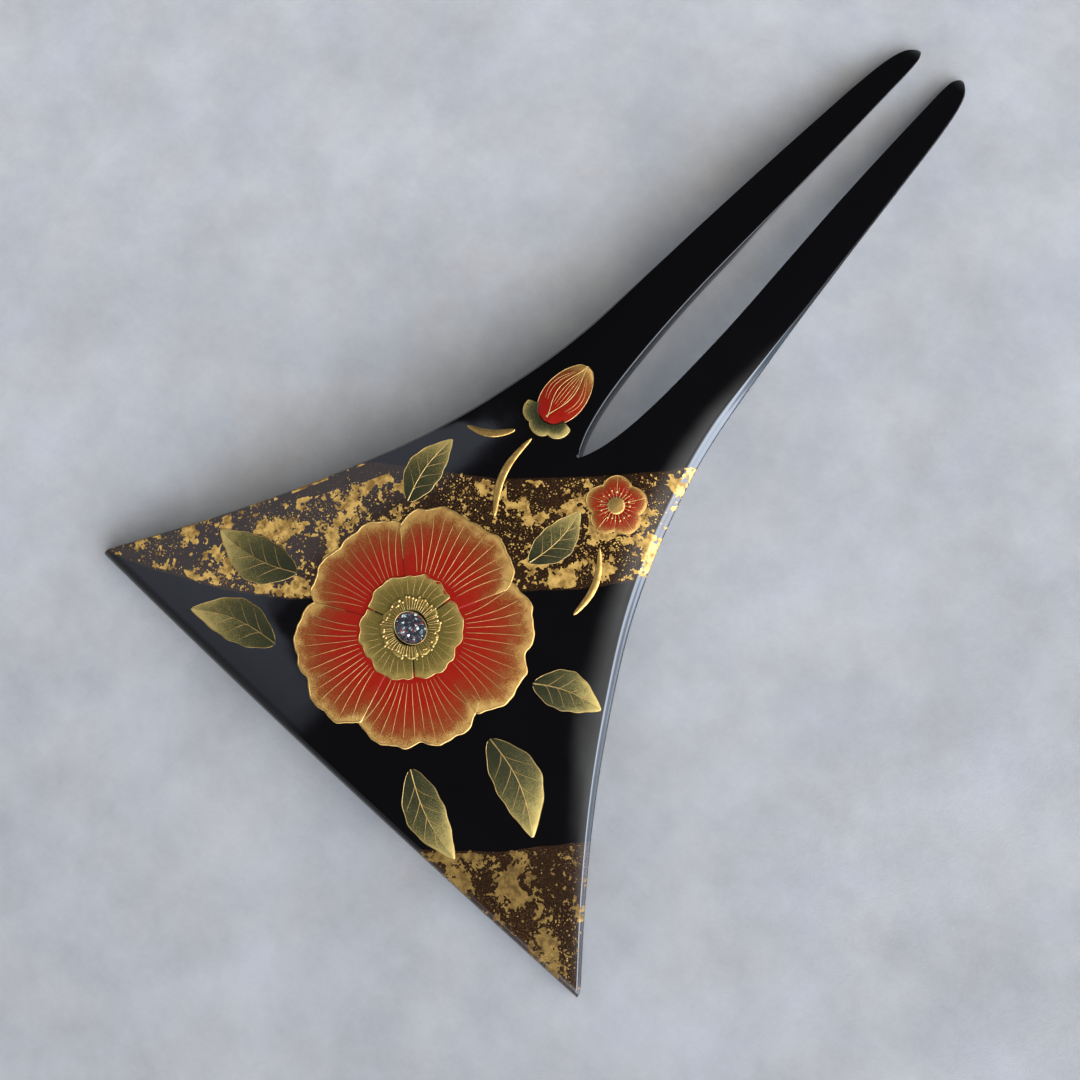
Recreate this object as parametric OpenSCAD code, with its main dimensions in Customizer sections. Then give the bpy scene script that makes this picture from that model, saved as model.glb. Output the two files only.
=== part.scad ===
// A plectrum-shaped kanzashi: one arched blade of lacquered wood, wide and straight at the head,
// swept in to a neck and split by a pointed slot into two prongs. A flower picture in raised
// lacquer lies on its upper face. Millimetres, +Y from the head edge to the tips, +Z up, and the
// blade stands on its two head corners and its two tips.

/* [Blade] */
// Length from the head edge to the prong tips
length = 150; // [135:1:165]
// Width of the head edge from corner to corner
head_w = 106; // [98:1:112]
// Thickness along the middle line of the head
mid_t = 3.6; // [3.2:0.1:4.2]
// Thickness along the sides
edge_t = 2.8; // [2.2:0.1:3]
// How far in from each edge the rounding reaches
edge_round = 1.2; // [0.8:0.1:1.5]
// Height of the arch between head and tips
arch_h = 5.8; // [4:0.1:8]
// How far the head corners bow down below the middle of the head edge
head_bow = 3.9; // [3:0.1:5]
// Thickness left at the tips, as a share
tip_share = 0.62; // [0.5:0.01:0.9]

/* [Slot] */
// Distance from the head edge to the point of the slot
slot_root = 61.5; // [58:0.5:64]
// Widest gap between the prongs
slot_w = 7.4; // [6.4:0.1:8]

/* [Flower] */
// Middle of the large flower, across from the middle line
flower_x = -2.5; // [-4:0.5:1]
// Middle of the large flower, along from the head edge
flower_y = 25; // [24:0.5:26]
// Radius of the large flower
flower_r = 19.5; // [17:0.5:20]
// Radius at which its outer petals start
petal_from = 8.9; // [8.6:0.1:9.5]
// Turn of the first outer petal
petal_turn = 100; // [90:1:110]
// Outer radius of the inner petals
inner_r = 8.5; // [8:0.1:8.5]
// Outer radius of the stamen ring
stamen_r = 4.7; // [4.4:0.1:4.9]
// Length of the oval shell inlay
shell_len = 5.6; // [4.8:0.1:5.6]
// Width of the oval shell inlay
shell_wide = 4.6; // [4:0.1:5]

/* [Relief] */
// Height of the raised lacquer at its middle
relief_h = 0.3; // [0.2:0.05:0.5]
// Height of the raised lacquer at its rim
rim_h = 0.12; // [0.1:0.01:0.15]
// Clearance between the raised lacquer and the face under it
seat_gap = 0.06; // [0.05:0.01:0.1]

/* [Hidden] */

LACQUER = "#101013";
PETAL_RED = "#c2562c";
OLIVE_GOLD = "#8f8340";
LEAF_GREEN = "#6f7038";
GOLD = "#d6a84e";
SHELL = "#7fa0b8";

flower_at = [flower_x, flower_y];
shell_size = [shell_len, shell_wide];

// Side outline: share of the length from the head edge, half width as a share of the head's half
SIDE = [
    [0.00, 1.000], [0.08, 0.830], [0.16, 0.675], [0.24, 0.540], [0.32, 0.423], [0.40, 0.338],
    [0.50, 0.266], [0.62, 0.226], [0.74, 0.196], [0.86, 0.168], [0.94, 0.147], [0.98, 0.126],
    [1.00, 0.095]
];
// Slot outline: share of the slot's length from its point, half gap as a share of the widest
SLOT = [
    [0.00, 0.00], [0.05, 0.44], [0.12, 0.75], [0.22, 0.93], [0.36, 1.00], [0.52, 0.92],
    [0.70, 0.83], [0.90, 0.81], [0.97, 0.83], [1.00, 0.98]
];

// Outer petals: length as a share of the flower's radius
PETAL_LENGTH = [1.00, 0.94, 0.99, 0.95, 1.00];
// Leaves: base across, base along, direction, length, width, sideways bend
LEAF = [
    [-22.6, 19.5, 192, 15.5, 7.4, 1.2],
    [-17.8, 9.0, 199, 16.0, 7.0, -1.2],
    [-16.2, 39.3, 96, 12.0, 6.0, 0.8],
    [5.0, 44.4, 86, 11.0, 5.6, -0.8],
    [17.4, 31.0, 20, 11.0, 6.2, 0.8],
    [17.8, 20.5, 335, 16.0, 7.4, 1.4],
    [11.5, 9.0, 338, 15.0, 6.4, -1.0]
];
// Brush-stroke stems: start across, start along, direction, length, width, sideways bend
STEM = [
    [-4.0, 46.4, 106, 13.4, 1.2, 1.6],
    [15.4, 42.8, 110, 11.0, 1.1, -1.4],
    [-10.6, 58.6, 213, 7.8, 1.2, 0.9]
];
// Bud: the end of its round base, its length and width, and its direction
BUD_AT = [-8, 62.6];
bud_size = [11, 7.2];
bud_turn = 93;
// Green cup under the bud: inner and outer radius round a point inside the bud's base
calyx_r = [3.05, 4.9];
calyx_lift = 2.4;
// Small five-lobed flower: its middle, the radii of its lobes and of its heart
PLUM_AT = [9.4, 59.6];
plum_r = [1.7, 4.8];
plum_heart_r = 1.35;

half_head = head_w / 2;
// Share of the arch by which its top leans towards the head
arch_lean = 0.4;
// Length of the rounding at each tip, and the least thickness left at either end, as a share
tip_reach = 2.4;
thin_end = 0.3;
// The edge rounding's largest share of a prong's width, its size beside the slot as a share of that
// on the sides, and its largest share of the slot's half width
nose_share = 0.42;
slot_round = 0.7;
slot_share = 0.8;
// Numbers of steps in the blade's grid, and how its sections spread out along the prongs
nose_steps = 3;
flat_steps = 7;
blade_steps = 13;
prong_steps = 14;
tip_steps = 4;
prong_spread = 1.25;

// Cubic curve through a table's rows, with the slope at each row taken from its neighbours
function slope(t, k) =
    let (a = max(k - 1, 0), b = min(k + 1, len(t) - 1))
    (t[b][1] - t[a][1]) / (t[b][0] - t[a][0]);
function row_of(t, v, k = 0) = k >= len(t) - 2 || v < t[k + 1][0] ? k : row_of(t, v, k + 1);
function through(t, v) =
    let (
        k = row_of(t, v),
        d = t[k + 1][0] - t[k][0],
        u = (v - t[k][0]) / d,
        start = t[k][1],
        end = t[k + 1][1]
    )
    start * (1 + 2 * u) * (1 - u) * (1 - u) + end * (3 - 2 * u) * u * u
    + slope(t, k) * d * u * (1 - u) * (1 - u) - slope(t, k + 1) * d * (1 - u) * u * u;

// Half width of the blade, with its corners eased, and half gap of the slot
corner_ease = 0.7;
corner_reach = 1.6;
function half_w(y) =
    half_head * through(SIDE, y / length) - corner_ease * pow(max(0, 1 - y / corner_reach), 2);
function half_gap(y) =
    y <= slot_root ? 0 : slot_w / 2 * through(SLOT, (y - slot_root) / (length - slot_root));

// The blade's middle surface: an arch along it and a bow across it
function mid_z(x, y) =
    let (u = y / length, side = x / half_head)
    4 * arch_h * u * (1 - u) * (1 + arch_lean / 2 - arch_lean * u)
    + head_bow * (1 - u - side * side)
    + edge_t / 2 * (1 - u * (1 - tip_share));

// Half thickness: domed across the blade, thinner towards the tips, rounded at both ends
function end_share(y) =
    y < edge_round ? max(thin_end, sqrt(1 - pow(1 - y / edge_round, 2)))
    : y > length - tip_reach ? max(thin_end, sqrt(1 - pow((y - length + tip_reach) / tip_reach, 2)))
    : 1;
function body_share(y) =
    y < slot_root ? 1 : 1 - (1 - tip_share) * (y - slot_root) / (length - slot_root);
function half_t(x, y) =
    (edge_t + (mid_t - edge_t) * (1 - pow(x / half_w(y), 2))) / 2 * body_share(y) * end_share(y);

// Distances from the head edge at which the blade is cut into sections
blade_end = length - tip_reach;
SECTIONS = concat(
    [for (k = [0:nose_steps]) edge_round * (1 - cos(90 * k / nose_steps))],
    [for (k = [1:blade_steps]) edge_round + (slot_root - edge_round) * k / blade_steps],
    [for (k = [1:prong_steps]) slot_root + (blade_end - slot_root) * pow(k / prong_steps, prong_spread)],
    [for (k = [1:tip_steps]) blade_end + tip_reach * sin(90 * k / tip_steps)]
);
root_row = nose_steps + blade_steps;
last_row = len(SECTIONS) - 1;

// Half a section: over the top from the middle or slot outwards, round the edge, back below, and
// up the slot's wall
nose_n = 2 * nose_steps;
below = flat_steps + nose_n;
wall = below + flat_steps;
ring_n = wall + nose_n;
function outer_nose(y) = min(edge_round, nose_share * (half_w(y) - half_gap(y)));
function inner_nose(y) = min(slot_round * edge_round, slot_share * half_gap(y), outer_nose(y));
function section(y) =
    let (
        reach = outer_nose(y),
        wall_reach = inner_nose(y),
        from = half_gap(y) + wall_reach,
        to = half_w(y) - reach,
        step = (to - from) / flat_steps
    )
    [for (j = [0:ring_n - 1])
        let (
            turn = j < below ? 90 * (j - flat_steps) / nose_steps : 90 * (j - wall) / nose_steps,
            x = j <= flat_steps ? from + j * step
                : j < below ? to + reach * sin(turn)
                : j <= wall ? to - (j - below) * step
                : from - wall_reach * sin(turn),
            flat_x = j <= flat_steps || (j >= below && j <= wall) ? x : j < below ? to : from,
            lift = j <= flat_steps ? 1 : j < below ? cos(turn) : j <= wall ? -1 : -cos(turn)
        )
        [x, y, mid_z(x, y) + lift * half_t(flat_x, y)]];

HALF = [for (y = SECTIONS) section(y)];

// The blade is levelled so that its corners and its tips all touch z = 0
corner_low = min([for (i = [0:root_row], p = HALF[i]) p.z]);
tip_low = min([for (i = [root_row:last_row], p = HALF[i]) p.z]);
function drop(y) = corner_low + (tip_low - corner_low) * y / length;
function placed(p, side) = [side * p.x, p.y - length / 2, p.z - drop(p.y)];
BODY_POINTS = concat(
    [for (ring = HALF, p = ring) placed(p, 1)],
    [for (ring = HALF, p = ring) placed(p, -1)]
);

// A point's number: both halves share the middle line and the slot's point
function vid(half, i, j) =
    let (shared = i <= root_row && (j == 0 || j == wall) || i == root_row && j > wall)
    (half == 1 && !shared ? len(HALF) * ring_n : 0) + i * ring_n + j;
function pair(a, b, c, d) = [[a, b, c], [a, c, d]];
function quad(half, a, b, c, d) = half == 0 ? pair(a, d, c, b) : pair(a, b, c, d);
function skin(half) = [
    for (i = [0:last_row - 1], j = [0:ring_n - 1])
        if (i >= root_row || j < wall)
            let (n = (j + 1) % ring_n)
            each quad(half, vid(half, i, j), vid(half, i, n), vid(half, i + 1, n), vid(half, i + 1, j))
];
nose_tip = flat_steps + nose_steps;
function head_cap(half) = concat(
    [for (j = [0:nose_tip - 2])
        each quad(half, vid(half, 0, wall - j), vid(half, 0, wall - j - 1),
            vid(half, 0, j + 1), vid(half, 0, j))],
    [[for (j = [-1:1]) vid(half, 0, nose_tip + (half == 0 ? j : -j))]]
);
function tip_cap(half) =
    [for (j = [0:ring_n - 1]) vid(half, last_row, half == 0 ? ring_n - 1 - j : j)];
BODY_FACES = concat(
    skin(0), skin(1), head_cap(0), head_cap(1), [tip_cap(0), tip_cap(1)]
);

// The lacquered blade with its two prongs
module body() {
    color(LACQUER)
        polyhedron(BODY_POINTS, BODY_FACES, convexity = 8);
}

// Height of the upper face, where the raised lacquer is seated
function face_z(x, y) = mid_z(x, y) + half_t(x, y) - drop(y);

// A raised patch: a grid of rows of [across, along, height], laid on the upper face. A ring's last
// row meets its first one.
function layer(grid, low) = [
    for (row = grid, p = row)
        [p[0], p[1] - length / 2, face_z(p[0], p[1]) + seat_gap + (low ? 0 : p[2])]
];
function patch_faces(rows, cols, ring) =
    let (
        n = rows * cols,
        rounds = ring ? rows - 1 : rows - 2
    )
    concat(
        [for (i = [0:rounds], j = [0:cols - 2])
            let (a = i * cols + j, d = (i + 1) % rows * cols + j)
            each concat(pair(a, d, d + 1, a + 1), pair(n + a, n + a + 1, n + d + 1, n + d))],
        [for (i = [0:rounds])
            let (a = i * cols, d = (i + 1) % rows * cols, e = cols - 1)
            each concat(pair(a, n + a, n + d, d), pair(a + e, d + e, n + d + e, n + a + e))],
        ring ? [] : [for (j = [0:cols - 2])
            let (d = (rows - 1) * cols + j)
            each concat(pair(j, j + 1, n + j + 1, n + j), pair(d, n + d, n + d + 1, d + 1))]
    );
module patch(grid, ring = false) {
    polyhedron(
        concat(layer(grid, false), layer(grid, true)),
        patch_faces(len(grid), len(grid[0]), ring),
        convexity = 4
    );
}
function raised(v) = rim_h + (relief_h - rim_h) * (1 - v * v);

// A petal: a sector round a point. Its form is half its spread in degrees, the share that its
// shoulders lose, and the depth of the notch in its rim as a share.
side_steps = 6;
reach_steps = 5;
shoulder_power = 4;
notch_wide = 0.16;
function petal_grid(at, turn, form, from, to) = [
    for (i = [-side_steps:side_steps])
        let (
            a = i / side_steps,
            dip = form[1] * pow(a, shoulder_power) + form[2] * exp(-pow(a / notch_wide, 2)),
            angle = turn + a * form[0]
        )
        [for (j = [0:reach_steps])
            let (v = j / reach_steps, r = from + (to * (1 - dip) - from) * v)
            [at.x + r * cos(angle), at.y + r * sin(angle), raised(max(abs(a), v))]]
];
petal_count = 5;
inner_count = 3;
petal_form = [35.2, 0.17, 0.05];
inner_form = [58, 0.12, 0.06];
calyx_form = [75, 0.25, 0];
inner_from = stamen_r + 0.4;
module petal(k) {
    turn = petal_turn + 360 / petal_count * k;
    color(PETAL_RED)
        patch(petal_grid(flower_at, turn, petal_form, petal_from, flower_r * PETAL_LENGTH[k]));
}
module inner_petal(k) {
    turn = petal_turn + 180 / petal_count + 360 / inner_count * k;
    color(OLIVE_GOLD)
        patch(petal_grid(flower_at, turn, inner_form, inner_from, inner_r));
}

// A lobed ring round a point, closed on itself. Its form is the number of lobes, the depth between
// them as a share, and the number of steps round it.
across_steps = 3;
function ring_grid(at, form, from, to) = [
    for (i = [0:form[2] - 1])
        let (angle = 360 * i / form[2], dip = form[1] * (1 - abs(sin(form[0] * angle / 2))))
        [for (j = [0:across_steps])
            let (v = j / across_steps, r = from + (to * (1 - dip) - from) * v)
            [at.x + r * cos(angle), at.y + r * sin(angle), raised(abs(2 * v - 1))]]
];
stamen_form = [12, 0.1, 36];
plum_form = [5, 0.2, 30];
stamen_from = max(shell_size) / 2 + 0.3;
module stamens() {
    color(GOLD)
        patch(ring_grid(flower_at, stamen_form, stamen_from, stamen_r), ring = true);
}

// A leaf-like patch: along a bent middle line, as wide as a power of a sine makes it, and widest
// a little past its middle
end_w = 0.16;
leaf_full = 0.9;
round_full = 0.5;
widest_at = 0.85;
leaf_steps = 14;
stem_steps = 12;
function leaf_grid(row, fullness, steps) =
    let (turn = row[2], side = turn + 90)
    [for (i = [0:steps])
        let (
            u = i / steps,
            wide = end_w + (row[4] - end_w) * pow(sin(180 * pow(u, widest_at)), fullness),
            out = row[5] * sin(180 * u),
            x = row[0] + u * row[3] * cos(turn) + out * cos(side),
            y = row[1] + u * row[3] * sin(turn) + out * sin(side)
        )
        [for (v = [1, 0.5, 0, -0.5, -1])
            [x + v * wide / 2 * cos(side), y + v * wide / 2 * sin(side), raised(v)]]];
module leaf(k) {
    color(LEAF_GREEN)
        patch(leaf_grid(LEAF[k], leaf_full, leaf_steps));
}
module stem(k) {
    color(GOLD)
        patch(leaf_grid(STEM[k], round_full, stem_steps));
}

// An oval patch: as a leaf, with a round outline
module oval(base, turn, size) {
    patch(leaf_grid([base.x, base.y, turn, size.x, size.y, 0], round_full, leaf_steps));
}
module shell_inlay() {
    color(SHELL)
        oval(flower_at - [shell_size.x / 2, 0], 0, shell_size);
}
module bud() {
    color(PETAL_RED)
        oval(BUD_AT, bud_turn, bud_size);
}
module calyx() {
    middle = BUD_AT + calyx_lift * [cos(bud_turn), sin(bud_turn)];
    color(LEAF_GREEN)
        patch(petal_grid(middle, bud_turn + 180, calyx_form, calyx_r[0], calyx_r[1]));
}
module plum() {
    color(PETAL_RED)
        patch(ring_grid(PLUM_AT, plum_form, plum_r[0], plum_r[1]), ring = true);
}
module plum_heart() {
    color(GOLD)
        oval(PLUM_AT - [plum_heart_r, 0], 0, 2 * [plum_heart_r, plum_heart_r]);
}

body();
petal(0);  // petal_1
petal(1);  // petal_2
petal(2);  // petal_3
petal(3);  // petal_4
petal(4);  // petal_5
inner_petal(0);  // inner_petal_1
inner_petal(1);  // inner_petal_2
inner_petal(2);  // inner_petal_3
stamens();
shell_inlay();
leaf(0);  // leaf_1
leaf(1);  // leaf_2
leaf(2);  // leaf_3
leaf(3);  // leaf_4
leaf(4);  // leaf_5
leaf(5);  // leaf_6
leaf(6);  // leaf_7
bud();
calyx();
plum();
plum_heart();
stem(0);  // stem_1
stem(1);  // stem_2
stem(2);  // stem_3
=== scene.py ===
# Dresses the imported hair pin: a black lacquer blade with two prongs, gold mist, and a flower
# picture in raised lacquer. Drawing is in millimetres: x across the blade from its middle line,
# y from the head edge towards the tips, z up from the table.
import math

import bmesh
import bpy
import numpy as np
from mathutils import Matrix, Vector


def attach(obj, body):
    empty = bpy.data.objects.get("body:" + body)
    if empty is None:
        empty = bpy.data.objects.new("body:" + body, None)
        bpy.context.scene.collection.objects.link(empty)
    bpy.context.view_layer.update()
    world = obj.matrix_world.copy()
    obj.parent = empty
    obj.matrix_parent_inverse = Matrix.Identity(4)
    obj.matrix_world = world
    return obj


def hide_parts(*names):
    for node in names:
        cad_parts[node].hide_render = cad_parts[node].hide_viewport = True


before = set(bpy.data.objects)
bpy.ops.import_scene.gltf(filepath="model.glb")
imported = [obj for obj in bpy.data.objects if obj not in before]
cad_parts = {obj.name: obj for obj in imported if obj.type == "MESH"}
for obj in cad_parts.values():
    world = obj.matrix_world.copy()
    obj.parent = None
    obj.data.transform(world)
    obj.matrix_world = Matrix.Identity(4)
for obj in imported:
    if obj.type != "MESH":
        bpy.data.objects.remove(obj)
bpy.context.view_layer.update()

MM = 0.001
ROOT = "root"

# ---------------------------------------------------------------- the blade's own measures
LENGTH = 150.0
HALF_HEAD = 53.0
MID_THICK = 3.6
EDGE_THICK = 2.8
ARCH = 5.8
ARCH_LEAN = 0.4
HEAD_BOW = 3.9
TIP_SHARE = 0.62
SLOT_ROOT = 61.5
SLOT_WIDTH = 7.4
EDGE_ROUND = 1.2
# Along the blade: y, reach of the outer edge's bevel, of the slot's, how far the face rolls off, how
# high above the middle of the wood the blade is widest, how much the edge leans in below that, and
# how far in the slot's wall leans
BEVEL, SLOT_BEVEL, ROLL, LIP, CUT, LEAN = range(1, 7)
EDGES = np.array([
    (0, 0.70, 0.45, 0.04, 0.66, 0.0, 0.0), (15, 0.95, 0.45, 0.08, 0.53, 0.0, 0.0),
    (40, 1.25, 0.45, 0.24, 0.30, 0.0, 0.0), (58, 1.50, 0.45, 0.44, 0.0, 0.0, 0.0),
    (80, 1.40, 0.45, 0.40, 0.0, 0.1, 0.0), (102, 0.35, 0.36, 0.05, 0.6, 0.8, 0.1),
    (116, 0.16, 0.20, 0.02, 0.75, 1.0, 0.7), (150, 0.16, 0.20, 0.00, 0.75, 1.0, 0.7)])
UNDERCUT = 1.1
# The bevel at -x is narrower; a rounding takes at most these shares of the wood and of the slot
LEFT_SHARE = 0.45
NOSE_SHARE = 0.42
GAP_SHARE = 0.8
TIP_REACH = 2.4
TIP_CURVE = 1.7
THIN_END = 0.1
TIP_LEAST = 0.05
LEAN_SHARE = 0.3
CORNER_EASE = 0.7
CORNER_REACH = 1.6
ROLL_REACH = 6.0
# Side outline: share of the length, half width as a share of the head's half
SIDE = np.array([
    (0.00, 1.000), (0.08, 0.830), (0.16, 0.675), (0.24, 0.540), (0.32, 0.423), (0.40, 0.338),
    (0.50, 0.266), (0.62, 0.226), (0.74, 0.196), (0.86, 0.168), (0.94, 0.147), (0.98, 0.126),
    (1.00, 0.095)])
# Slot outline: share of the slot's length, half gap as a share of the widest
SLOT = np.array([
    (0.00, 0.00), (0.05, 0.44), (0.12, 0.75), (0.22, 0.93), (0.36, 1.00), (0.52, 0.92),
    (0.70, 0.83), (0.90, 0.81), (0.97, 0.83), (1.00, 0.98)])

# Section of the upper edge: share of its reach, share of the half thickness
EDGE = np.array([
    (0.00, 1.000), (0.02, 0.997), (0.06, 0.975), (0.22, 0.815), (0.44, 0.605), (0.51, 0.52), (0.74, 0.295),
    (0.90, 0.13), (0.97, 0.05), (1.00, 0.00)])


def through(table, v):
    """A smooth curve through a table's rows, at the shares v."""
    v = np.asarray(v, float)
    last = len(table) - 1
    k = np.clip(np.searchsorted(table[:, 0], v, side="right") - 1, 0, last - 1)
    before = np.maximum(np.arange(last + 1) - 1, 0)
    after = np.minimum(np.arange(last + 1) + 1, last)
    slope = (table[after, 1] - table[before, 1]) / (table[after, 0] - table[before, 0])
    d = table[k + 1, 0] - table[k, 0]
    u = (v - table[k, 0]) / d
    ends = table[k, 1] * (1 + 2 * u) * (1 - u) ** 2 + table[k + 1, 1] * (3 - 2 * u) * u * u
    return ends + slope[k] * d * u * (1 - u) ** 2 - slope[k + 1] * d * (1 - u) * u * u


def half_width(y):
    """Half the blade's width, its head corners eased."""
    y = np.asarray(y, float)
    return HALF_HEAD * through(SIDE, y / LENGTH) - CORNER_EASE * np.maximum(0, 1 - y / CORNER_REACH) ** 2


def half_gap(y):
    """Half the slot's width, 0 above its pointed root."""
    y = np.asarray(y, float)
    share = np.clip((y - SLOT_ROOT) / (LENGTH - SLOT_ROOT), 0, 1)
    return np.where(y <= SLOT_ROOT, 0.0, SLOT_WIDTH / 2 * through(SLOT, share))


def middle_z(x, y):
    """The arched and bowed surface halfway through the wood."""
    u = y / LENGTH
    arch = 4 * ARCH * u * (1 - u) * (1 + ARCH_LEAN / 2 - ARCH_LEAN * u)
    return arch + HEAD_BOW * (1 - u - (x / HALF_HEAD) ** 2) + EDGE_THICK / 2 * (1 - u * (1 - TIP_SHARE))


def end_share(y):
    """Thickness that the rounded head edge and the tips keep, as a share."""
    head = np.sqrt(np.clip(1 - (1 - y / EDGE_ROUND) ** 2, 0, 1))
    tip = np.sqrt(np.clip(1 - ((y - LENGTH + TIP_REACH) / TIP_REACH) ** 2, 0, 1))
    share = np.where(y < EDGE_ROUND, head, np.where(y > LENGTH - TIP_REACH, tip, 1.0))
    return np.maximum(THIN_END, share)


def half_thick(x, y):
    """Half the wood's thickness, most in the middle and less towards the tips."""
    y = np.asarray(y, float)
    along = np.where(y < SLOT_ROOT, 1.0, 1 - (1 - TIP_SHARE) * (y - SLOT_ROOT) / (LENGTH - SLOT_ROOT))
    across = EDGE_THICK + (MID_THICK - EDGE_THICK) * (1 - (x / half_width(y)) ** 2)
    return across / 2 * along * end_share(y)


def tip_round(y):
    """Width that the rounded prong tips keep, as a share."""
    share = np.clip((np.asarray(y, float) - LENGTH + TIP_CURVE) / TIP_CURVE, 0, 1)
    return np.maximum(TIP_LEAST, np.sqrt(1 - share ** 2))


def edge_at(y, column):
    """One column of the edge's table at y."""
    return np.interp(y, EDGES[:, 0], EDGES[:, column])


def bevels(y, x):
    """How far in the rounding of the outer edge and of the slot's edge reaches, narrower at -x."""
    g = half_gap(y)
    most = NOSE_SHARE * (half_width(y) - g)
    outer = np.minimum(edge_at(y, BEVEL) * np.where(np.asarray(x) < 0, LEFT_SHARE, 1.0), most)
    return outer, np.minimum(np.minimum(edge_at(y, SLOT_BEVEL), GAP_SHARE * g), most)


def roll(x, y):
    """The polished face falls away softly before it meets the outer edge."""
    outer, _ = bevels(y, x)
    w = half_width(y)
    reach = np.minimum(ROLL_REACH, 0.5 * (w - half_gap(y)))
    start = w - outer - reach
    share = np.clip((np.abs(x) - start) / reach, 0, 1)
    return edge_at(y, ROLL) * (reach / ROLL_REACH) * share ** 2


def face_z(x, y):
    """Height of the blade's upper face, its rounded edges included."""
    x, y = np.asarray(x, float), np.asarray(y, float)
    w, g = half_width(y), half_gap(y)
    outer, inner = bevels(y, x)
    flat = np.clip(np.abs(x), g + inner, w - outer)
    out_share = np.clip((np.abs(x) - (w - outer)) / np.maximum(outer, 1e-6), 0, 1)
    in_share = np.clip((g + inner - np.abs(x)) / np.maximum(inner, 1e-6), 0, 1)
    lip = edge_at(y, LIP)
    outer_lift = lip + (1 - lip) * np.interp(out_share, EDGE[:, 0], EDGE[:, 1])
    lift = np.minimum(outer_lift, np.clip(1 - in_share ** 3, 0, 1) ** (1 / 3))
    return middle_z(x, y) + lift * (half_thick(flat, y) - roll(flat, y)) - level(y)


def blade_rings(side):
    """Half sections of the blade: over the top outwards, round the edge, back below, up the slot.
    side is 1 for the half at +x and -1 for the other."""
    rows = []
    for y in SECTIONS:
        w, g = float(half_width(y)), float(half_gap(y))
        outer, inner = (float(b) for b in bevels(y, side))
        lip, cut, lean = (float(edge_at(y, column)) for column in (LIP, CUT, LEAN))
        under = min(outer + cut * (UNDERCUT - outer), NOSE_SHARE * (w - g))
        start, stop, low_stop = g + inner, w - outer, w - under
        lean = min(lean, LEAN_SHARE * (w - g))
        row = np.zeros((RING, 3))
        for j in range(RING):
            if j <= FLAT_STEPS:
                x = flat = start + (stop - start) * j / FLAT_STEPS
                lift = 1.0
            elif j < FLAT_STEPS + NOSE_STEPS:
                reach, lift = EDGE[j - FLAT_STEPS]
                x, flat, lift = stop + outer * reach, stop, lip + (1 - lip) * lift
            elif j < BELOW:
                turn = math.radians(90 * (j - FLAT_STEPS) / NOSE_STEPS)
                down = -math.cos(turn)
                reach = (1 - cut) * math.sin(turn) + cut * (1 - 0.8 * down - 0.2 * down ** 3)
                x, flat = low_stop + under * reach, low_stop + (stop - low_stop) * reach
                lift = lip - (1 + lip) * down
            elif j <= WALL:
                x = flat = low_stop - (low_stop - start - lean) * (j - BELOW) / FLAT_STEPS
                lift = -1.0
            else:
                turn = math.radians(90 * (j - WALL) / NOSE_STEPS)
                lift = -math.copysign(abs(math.cos(turn)) ** (2 / 3), math.cos(turn))
                x, flat = start + lean * (1 - lift) / 2 - inner * abs(math.sin(turn)) ** (2 / 3), start
            thick = float(half_thick(flat, y))
            if lift > 0:
                thick -= float(roll(flat * side, y))
            x = (w + g) / 2 + (x - (w + g) / 2) * (float(tip_round(y)) if y > SLOT_ROOT else 1.0)
            row[j] = x * side, y, float(middle_z(x, y)) + lift * thick
        rows.append(row)
    return rows


# A half section has so many steps over a flat and round a quarter of an edge; BELOW, WALL and RING
# are where the underside and the slot's wall start, and the whole count
FLAT_STEPS, NOSE_STEPS = 24, 9
BELOW = FLAT_STEPS + 2 * NOSE_STEPS
WALL = BELOW + FLAT_STEPS
RING = WALL + 2 * NOSE_STEPS
HEAD_SECTIONS = EDGE_ROUND * (1 - np.cos(np.linspace(0, math.pi / 2, 7)))
BLADE_SECTIONS = np.linspace(EDGE_ROUND, SLOT_ROOT, 76)[1:]
PRONG_SECTIONS = SLOT_ROOT + (LENGTH - TIP_REACH - SLOT_ROOT) * np.linspace(0, 1, 96)[1:] ** 1.6
TIP_SECTIONS = LENGTH - TIP_REACH + TIP_REACH * np.sin(np.linspace(0, math.pi / 2, 11)[1:])
SECTIONS = np.concatenate([HEAD_SECTIONS, BLADE_SECTIONS, PRONG_SECTIONS, TIP_SECTIONS])
ROOT_ROW = len(HEAD_SECTIONS) + len(BLADE_SECTIONS) - 1
RIGHT, LEFT = blade_rings(1), blade_rings(-1)
HEAD_LOW = min(row[:, 2].min() for row in RIGHT[:ROOT_ROW + 1] + LEFT[:ROOT_ROW + 1])
TIPS_LOW = min(row[:, 2].min() for row in RIGHT[ROOT_ROW:] + LEFT[ROOT_ROW:])


def level(y):
    """Takes the blade down on to its two corners and two tips."""
    return HEAD_LOW + (TIPS_LOW - HEAD_LOW) * np.asarray(y, float) / LENGTH


# ---------------------------------------------------------------- meshes
def make_mesh(name, points, faces, uv=None):
    """A mesh object from points in millimetres. uv holds one pair for each point."""
    points = np.asarray(points, float).copy()
    points[:, 1] -= LENGTH / 2
    mesh = bpy.data.meshes.new(name)
    mesh.from_pydata((points * MM).tolist(), [], faces)
    if uv is not None:
        layer = mesh.uv_layers.new(name="lay")
        index = np.zeros(len(mesh.loops), int)
        mesh.loops.foreach_get("vertex_index", index)
        layer.data.foreach_set("uv", np.asarray(uv, float)[index].ravel())
    mesh.polygons.foreach_set("use_smooth", [True] * len(mesh.polygons))
    obj = bpy.data.objects.new(name, mesh)
    bpy.context.scene.collection.objects.link(obj)
    return obj


def note(obj, name, values):
    """Stores one number for each point of a mesh."""
    layer = obj.data.attributes.new(name, "FLOAT", "POINT")
    layer.data.foreach_set("value", np.asarray(values, np.float32).ravel())


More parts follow.
